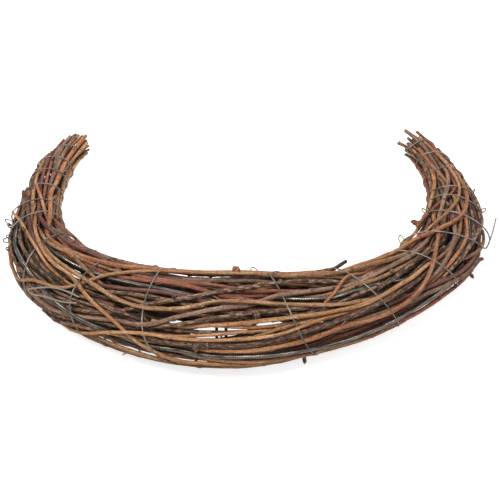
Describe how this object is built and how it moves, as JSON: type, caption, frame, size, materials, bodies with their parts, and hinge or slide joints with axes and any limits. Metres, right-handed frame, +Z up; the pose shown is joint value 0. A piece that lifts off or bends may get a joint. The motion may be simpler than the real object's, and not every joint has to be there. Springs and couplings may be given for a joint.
{
  "type": "vine crescent wreath",
  "caption": "Crescent wreath form of loose woody vine stems on twisted steel rods, bound round with fine iron wire and open at the back, lying flat.",
  "frame": {"origin": "on the surface it lies on, below the middle of the crescent's box", "axes": "+X along the crescent from its left tip side to its right, +Y from the full front toward the open back, +Z up"},
  "size_m": [0.4084, 0.3218, 0.0654],
  "materials": {
    "stem_tan": "pale tan vine stem, satin bark",
    "stem_ochre": "ochre-brown vine stem, satin bark",
    "stem_orange": "orange-brown vine stem, satin bark",
    "stem_rust": "rust-red vine stem, satin bark",
    "stem_wine": "dark wine-brown vine stem",
    "stem_mauve": "pinkish grey-brown vine stem, dull bark",
    "stem_bark": "grey-brown stem, rough bark",
    "stem_dark": "near-black brown stem, rough bark",
    "frame_steel": "dark drawn steel strand, twisted",
    "binding_iron": "bare annealed iron wire, dull grey"
  },
  "bodies": {
    "root": {"stem_tan_diagonal": "stem_tan", "stem_tan_middle": "stem_ochre", "stem_corner": "stem_tan", "stem_orange_edge": "stem_orange", "stem_grey_top": "stem_mauve", "stem_mauve_one": "stem_wine", "stem_mauve_two": "stem_mauve", "stem_rust_inner": "stem_rust", "stem_forked_tan": "stem_ochre", "stem_orange_cross": "stem_orange", "stem_bark_left": "stem_bark", "stem_wine_left": "stem_wine", "stem_dark_left": "stem_dark", "stem_outer_one": "stem_mauve", "stem_outer_two": "stem_bark", "stem_low_left": "stem_bark", "stem_broken_corner": "stem_bark", "stem_tan_low": "stem_tan", "stem_pink_long": "stem_mauve", "stem_dark_bark": "stem_bark", "stem_rust_red": "stem_rust", "stem_red_inner": "stem_rust", "stem_wine_middle": "stem_wine", "stem_grey_middle": "stem_bark", "stem_brown_middle": "stem_bark", "stem_tan_arch": "stem_tan", "stem_dark_front": "stem_dark", "stem_right_diagonal": "stem_orange", "stem_edge_right": "stem_rust", "stem_edge_front": "stem_mauve", "stem_tan_bottom": "stem_tan", "stem_edge_two": "stem_ochre", "stem_mid_low": "stem_ochre", "stem_bark_upper": "stem_bark", "stem_brown_upper": "stem_ochre", "stem_pink_low": "stem_mauve", "stem_purple_low": "stem_wine", "stem_thick_upright": "stem_mauve", "stem_orange_upright": "stem_orange", "stem_bark_upright": "stem_bark", "stem_short_right": "stem_ochre", "stem_pale_horn": "stem_tan", "stem_tan_horn": "stem_tan", "stem_thick_tan": "stem_ochre", "stem_right_edge": "stem_orange", "stem_red_horn": "stem_rust", "stem_tan_spur": "stem_tan", "stem_short_twig": "stem_orange", "stem_dark_stub": "stem_dark", "stem_inner_edge": "stem_ochre", "stem_inner_low": "stem_bark", "stem_under_inner": "stem_dark", "stem_under_left": "stem_bark", "stem_under_right": "stem_mauve", "stem_under_outer": "stem_ochre", "frame_rod_outer": "frame_steel", "frame_rod_upper": "frame_steel", "tie_strand": "binding_iron", "binding_wire_left": "binding_iron", "binding_wire_right": "binding_iron"}
  },
  "joints": []
}
